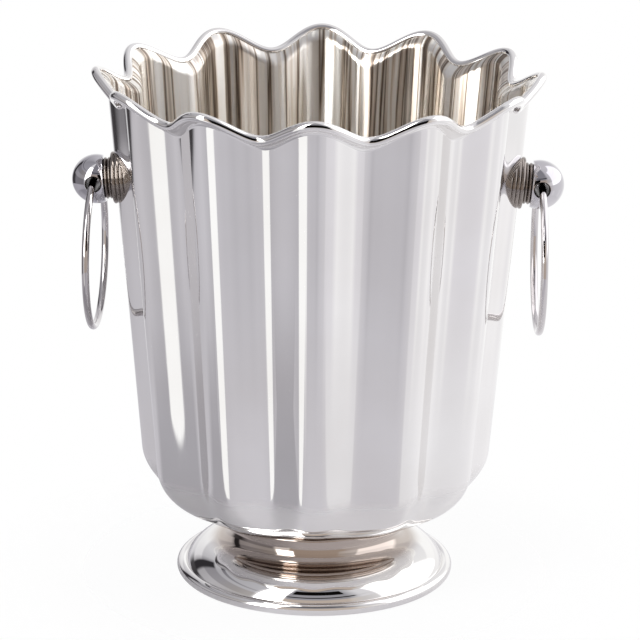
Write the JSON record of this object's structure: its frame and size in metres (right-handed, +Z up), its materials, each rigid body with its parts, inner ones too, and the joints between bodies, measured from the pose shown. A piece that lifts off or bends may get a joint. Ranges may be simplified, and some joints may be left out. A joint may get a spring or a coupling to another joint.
{
  "type": "champagne bucket",
  "caption": "Fluted champagne bucket on a round pedestal foot, with a wavy wired rim and a loose ring handle on a ball at each side.",
  "frame": {"origin": "on the table under the middle of the round foot", "axes": "+Z up; +X towards the ring handle that is on the right in the picture; the picture is taken from -Y"},
  "size_m": [0.2328, 0.2136, 0.2486],
  "materials": {
    "body_plate": "Silver plate on brass sheet: mirror polish outside, satin with drawing lines inside.",
    "foot_plate": "Silver plate on brass sheet, mirror polish.",
    "rim_plate": "Silver plate on brass wire, mirror polish.",
    "handle_plate": "Silver plate on cast and turned brass, mirror polish.",
    "ring_plate": "Silver plate on drawn brass wire, mirror polish.",
    "seat_brass": "turned brass, satin",
    "fixing_steel": "stainless steel, satin",
    "seal_rubber": "matt black rubber"
  },
  "bodies": {
    "bucket": {"bucket_body": "body_plate", "rim_wire": "rim_plate", "foot_shell": "foot_plate", "foot_bead_ring": "foot_plate", "foot_bolt": "fixing_steel", "seal_washer": "seal_rubber", "clamp_washer": "fixing_steel", "spring_washer": "fixing_steel", "foot_nut": "fixing_steel", "right_base_plate": "handle_plate", "right_collar": "handle_plate", "right_knob": "handle_plate", "right_screw": "fixing_steel", "right_seat_washer": "seat_brass", "left_base_plate": "handle_plate", "left_collar": "handle_plate", "left_knob": "handle_plate", "left_screw": "fixing_steel", "left_seat_washer": "seat_brass"},
    "right_ring_body": {"right_ring": "ring_plate"},
    "left_ring_body": {"left_ring": "ring_plate"}
  },
  "joints": [
    {"name": "right_ring_swing", "type": "hinge", "parent": "bucket", "child": "right_ring_body", "pos_m": [0.10564, 0, 0.19426], "axis": [0, -1, 0], "range_deg": [-10, 185]},
    {"name": "left_ring_swing", "type": "hinge", "parent": "bucket", "child": "left_ring_body", "pos_m": [-0.10564, 0, 0.19426], "axis": [0, 1, 0], "range_deg": [-10, 185]}
  ]
}
